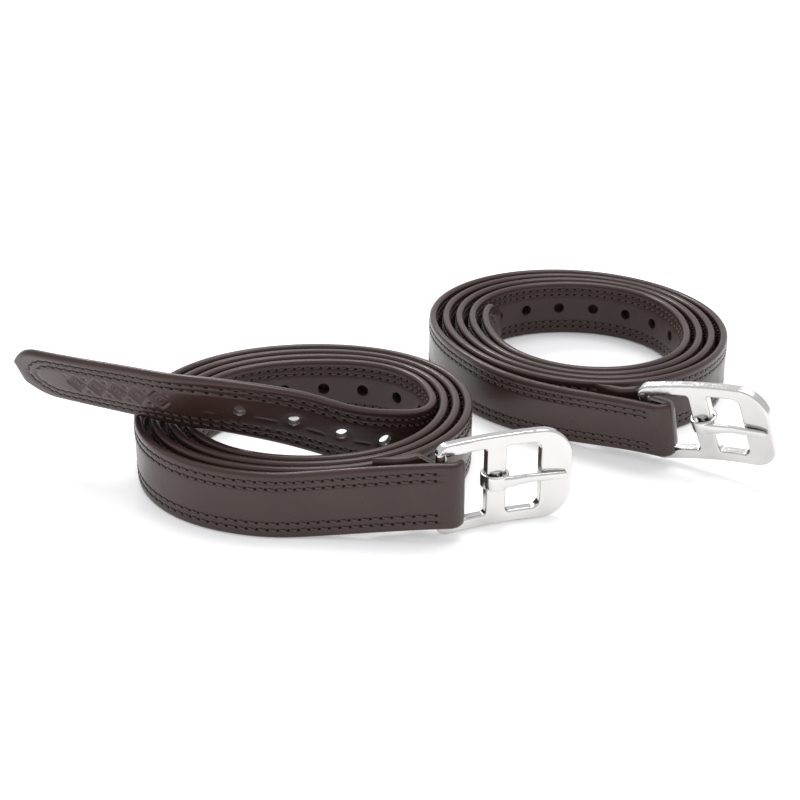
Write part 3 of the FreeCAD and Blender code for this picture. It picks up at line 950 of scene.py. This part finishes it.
def prong():
    """A round-edged rod that grows out of the ring and bends down on to the frame's far end."""
    table = np.array(TONGUE_PRONG)
    reaches = np.linspace(0.0, table[-1, 0], 60)
    shape = Spline(table[:, (0, 1)])
    standoff = np.interp(reaches, shape.places[:, 0], shape.places[:, 1])
    thickness = np.interp(reaches, table[:, 0], table[:, 2])
    height = np.interp(reaches, table[:, 0], table[:, 3])
    section = 24
    vertices = []
    for index, reach in enumerate(reaches):
        x = MIDDLE_BAR + reach
        left = reaches[-1] - reach
        close = math.sqrt(max(1.0 - max(1.0 - left / PRONG_END, 0.0) ** 2, PRONG_END_SHARE))
        face = frame_middle(x) - FRAME_THICKNESS / 2.0 - TONGUE_CLEARANCE - standoff[index]
        centre = face - thickness[index] / 2.0
        for corner in range(section):
            angle = 2.0 * math.pi * corner / section
            across = squared(math.cos(angle), PRONG_SQUARENESS)
            upwards = squared(math.sin(angle), PRONG_SQUARENESS)
            y = centre - across * close * thickness[index] / 2.0
            z = (FRAME_HEIGHT + upwards * close * height[index]) / 2.0
            vertices.append((x, y, z))
    return vertices, grid_faces(len(reaches), section)


def buckle_tongue(path, material):
    """The ring and its prong, placed on the middle bar in one mesh."""
    ring, ring_faces = ring_band()
    rod, rod_faces = prong()
    faces = ring_faces + [tuple(corner + len(ring) for corner in face) for face in rod_faces]
    foot, directions = path.buckle
    vertices = np.array(ring + rod) @ directions + foot
    name = path.prefix + "_tongue"
    piece = new_piece(name, vertices, faces, material)
    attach(piece, name)
    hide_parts(path.prefix + "_buckle_tongue")
    return piece


# ---- materials ----
class Shader:
    """A material's node tree with short helpers for the nodes this scene uses."""

    def __init__(self, name):
        self.material = bpy.data.materials.new(name)
        self.material.use_nodes = True
        self.tree = self.material.node_tree
        self.surface = self.tree.nodes["Principled BSDF"]
        self.place = self.tree.nodes.new("ShaderNodeTexCoord").outputs["Object"]

    def link(self, source, target):
        self.tree.links.new(source, target)

    def noise(self, scale, detail=4.0, roughness=0.55):
        """Cloudy variation from 0 to 1."""
        node = self.tree.nodes.new("ShaderNodeTexNoise")
        node.inputs["Scale"].default_value = scale
        node.inputs["Detail"].default_value = detail
        node.inputs["Roughness"].default_value = roughness
        self.link(self.place, node.inputs["Vector"])
        return node.outputs["Fac"]

    def cells(self, scale):
        """The distance to the nearest edge between scattered cells."""
        node = self.tree.nodes.new("ShaderNodeTexVoronoi")
        node.feature = "DISTANCE_TO_EDGE"
        node.inputs["Scale"].default_value = scale
        self.link(self.place, node.inputs["Vector"])
        return node.outputs["Distance"]

    def spread(self, value, low, high, to_low, to_high):
        """Stretches a value's range from low and high to to_low and to_high."""
        node = self.tree.nodes.new("ShaderNodeMapRange")
        node.inputs["From Min"].default_value = low
        node.inputs["From Max"].default_value = high
        node.inputs["To Min"].default_value = to_low
        node.inputs["To Max"].default_value = to_high
        self.link(value, node.inputs["Value"])
        return node.outputs["Result"]

    def blend(self, factor, first, second):
        node = self.tree.nodes.new("ShaderNodeMix")
        node.data_type = "RGBA"
        node.inputs["A"].default_value = (*first, 1.0)
        node.inputs["B"].default_value = (*second, 1.0)
        self.link(factor, node.inputs["Factor"])
        return node.outputs["Result"]

    def bump(self, height, distance, strength, under=None):
        node = self.tree.nodes.new("ShaderNodeBump")
        node.inputs["Distance"].default_value = distance
        node.inputs["Strength"].default_value = strength
        self.link(height, node.inputs["Height"])
        if under is not None:
            self.link(under, node.inputs["Normal"])
        return node.outputs["Normal"]

    def set(self, socket, value):
        self.surface.inputs[socket].default_value = value

    def drive(self, socket, source):
        self.link(source, self.surface.inputs[socket])


def leather_material(name, light, dark, gloss):
    """Smooth bridle leather: fine pores, faint creasing and a waxed sheen."""
    shader = Shader(name)
    mottle = shader.spread(shader.noise(38.0, detail=5.0), 0.3, 0.7, 0.0, 1.0)
    shader.drive("Base Color", shader.blend(mottle, dark, light))
    smear = shader.noise(140.0, detail=3.0)
    shader.drive("Roughness", shader.spread(smear, 0.3, 0.7, gloss - 0.05, gloss + 0.06))
    pores = shader.spread(shader.cells(1500.0), 0.0, 0.12, 0.0, 1.0)
    wrinkles = shader.noise(420.0, detail=5.0, roughness=0.6)
    fine = shader.bump(pores, distance=0.00005, strength=0.18)
    shader.drive("Normal", shader.bump(wrinkles, distance=0.00016, strength=0.3, under=fine))
    shader.set("Specular IOR Level", 0.37)
    shader.set("Coat Weight", 0.12)
    shader.set("Coat Roughness", 0.18)
    return shader.material


def thread_material():
    """Waxed polyester thread with a visible twist."""
    shader = Shader("waxed_thread")
    fibres = shader.noise(2400.0, detail=2.0)
    colour = shader.blend(fibres, (0.024, 0.014, 0.012), (0.075, 0.05, 0.045))
    shader.drive("Base Color", colour)
    shader.drive("Normal", shader.bump(fibres, distance=0.00012, strength=0.5))
    shader.set("Roughness", 0.46)
    shader.set("Sheen Weight", 0.15)
    return shader.material


def hole_shade_material():
    """Painted shade: the dark inside of a needle hole, laid on the low dome that stands for it."""
    shader = Shader("needle_hole_shade")
    shade = shader.noise(900.0, detail=2.0)
    colour = shader.blend(shade, (0.004, 0.0025, 0.002), (0.009, 0.006, 0.005))
    shader.drive("Base Color", colour)
    shader.set("Roughness", 0.8)
    shader.set("Specular IOR Level", 0.15)
    return shader.material


def webbing_material():
    """The woven nylon core, seen only at cut edges."""
    shader = Shader("nylon_webbing")
    weave = shader.spread(shader.cells(1100.0), 0.0, 0.3, 0.0, 1.0)
    shader.drive("Base Color", shader.blend(weave, (0.006, 0.005, 0.005), (0.03, 0.026, 0.024)))
    shader.drive("Normal", shader.bump(weave, distance=0.0002, strength=0.6))
    shader.set("Roughness", 0.75)
    return shader.material


def steel_material():
    """Polished stainless steel with faint casting waves and hairline scuffs."""
    shader = Shader("polished_stainless")
    tone = shader.noise(90.0, detail=3.0)
    shader.drive("Base Color", shader.blend(tone, (0.61, 0.6, 0.585), (0.69, 0.68, 0.665)))
    scuffs = shader.noise(700.0, detail=6.0, roughness=0.7)
    shader.drive("Roughness", shader.spread(scuffs, 0.35, 0.7, 0.13, 0.24))
    waves = shader.bump(shader.noise(160.0, detail=2.0), distance=0.0006, strength=0.22)
    shader.drive("Normal", shader.bump(scuffs, distance=0.00003, strength=0.2, under=waves))
    shader.set("Metallic", 1.0)
    return shader.material


def floor_material():
    """Seamless white paper with a faint painted glow that washes out its shadows, left out inside
    the rear coil so the shade there shows.
    """
    shader = Shader("white_paper")
    colour = shader.blend(shader.noise(6.0), (0.86, 0.86, 0.86), (0.88, 0.88, 0.88))
    shader.drive("Base Color", colour)
    shader.set("Roughness", 0.9)
    shader.set("Specular IOR Level", 0.1)
    # Painted light: the paper glows white, though it is no lamp.
    shader.set("Emission Color", (1.0, 1.0, 1.0, 1.0))
    place = shader.tree.nodes.new("ShaderNodeNewGeometry").outputs["Position"]
    distance = shader.tree.nodes.new("ShaderNodeVectorMath")
    distance.operation = "DISTANCE"
    shader.link(place, distance.inputs[0])
    distance.inputs[1].default_value = (rear.centre[0] * MM, rear.centre[1] * MM, 0.0)
    glow = shader.spread(distance.outputs["Value"], SHADE_END, GLOW_START, 0.0, GLOW)
    shader.drive("Emission Strength", glow)
    return shader.material


def dress(node, material):
    """Gives a CAD node its finished material."""
    node.data.materials.clear()
    node.data.materials.append(material)


# ---- the set ----
def build_floor():
    half = FLOOR_SIZE / 2.0
    mesh = bpy.data.meshes.new("floor")
    outline = ((-half, -half), (half, -half), (half, half), (-half, half))
    corners = [(x * MM, y * MM, -FLOOR_DROP * MM) for x, y in outline]
    mesh.from_pydata(corners, [], [(0, 1, 2, 3)])
    mesh.materials.append(floor_material())
    floor = bpy.data.objects.new("floor", mesh)
    bpy.context.scene.collection.objects.link(floor)


def softbox(name, place, width, depth, power):
    """A white rectangular light that faces the middle of the pair."""
    light = bpy.data.lights.new(name, "AREA")
    light.shape = "RECTANGLE"
    light.size = width
    light.size_y = depth
    light.energy = power
    lamp = bpy.data.objects.new(name, light)
    lamp.location = place
    lamp.rotation_euler = (-Vector(place)).to_track_quat("-Z", "Y").to_euler()
    bpy.context.scene.collection.objects.link(lamp)


def build_lights():
    world = bpy.data.worlds.new("studio")
    world.use_nodes = True
    background = world.node_tree.nodes["Background"]
    background.inputs["Color"].default_value = SKY_COLOUR
    background.inputs["Strength"].default_value = SKY_STRENGTH
    bpy.context.scene.world = world
    softbox("overhead", place=(0.2, 0.3, 1.4), width=1.1, depth=0.7, power=11.5)
    softbox("rim", place=(-0.35, 0.85, 0.85), width=0.4, depth=0.18, power=4.0)


def build_camera():
    """A camera in front of the pair that looks down on it, as in the photograph."""
    data = bpy.data.cameras.new("camera")
    data.sensor_width = CAMERA_SENSOR
    data.lens = CAMERA_LENS
    data.clip_start = 0.01
    camera = bpy.data.objects.new("camera", data)
    camera.location = CAMERA_PLACE
    camera.rotation_euler = (math.radians(90.0 - CAMERA_PITCH), 0.0, 0.0)
    bpy.context.scene.collection.objects.link(camera)
    bpy.context.scene.camera = camera


def build_strap(path, cover_leather, lining_leather, thread, needle):
    strap_cover(path, cover_leather)
    tip = path.length - LINING_SET_BACK
    splice = path.face_start + (path.length - path.face_start) * LINING_SPLICE_SHARE
    half_gap = LINING_SPLICE_GAP / 2.0
    start = START_OF_MESH + LINING_SET_BACK
    strap_lining(path, "outer", start, splice - half_gap, lining_leather)
    strap_lining(path, "inner", splice + half_gap, tip, lining_leather)
    for side in ("face", "back"):
        for level in ("lower", "upper"):
            stitching(path, side, level, thread, needle)


havana = leather_material(
    "havana_leather_face",
    light=(0.046, 0.0225, 0.018),
    dark=(0.035, 0.0165, 0.013),
    gloss=0.32,
)
lining = leather_material(
    "havana_leather_lining",
    light=(0.052, 0.03, 0.024),
    dark=(0.038, 0.021, 0.017),
    gloss=0.48,
)
thread = thread_material()
needle = hole_shade_material()
steel = steel_material()
webbing = webbing_material()

for strap in (front, rear):
    build_strap(strap, havana, lining, thread, needle)
    dress(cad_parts[strap.prefix + "_nylon_core"], webbing)
    dress(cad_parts[strap.prefix + "_buckle_frame"], steel)
    buckle_tongue(strap, steel)

build_floor()
build_lights()
build_camera()
bpy.context.scene.view_settings.view_transform = "Standard"
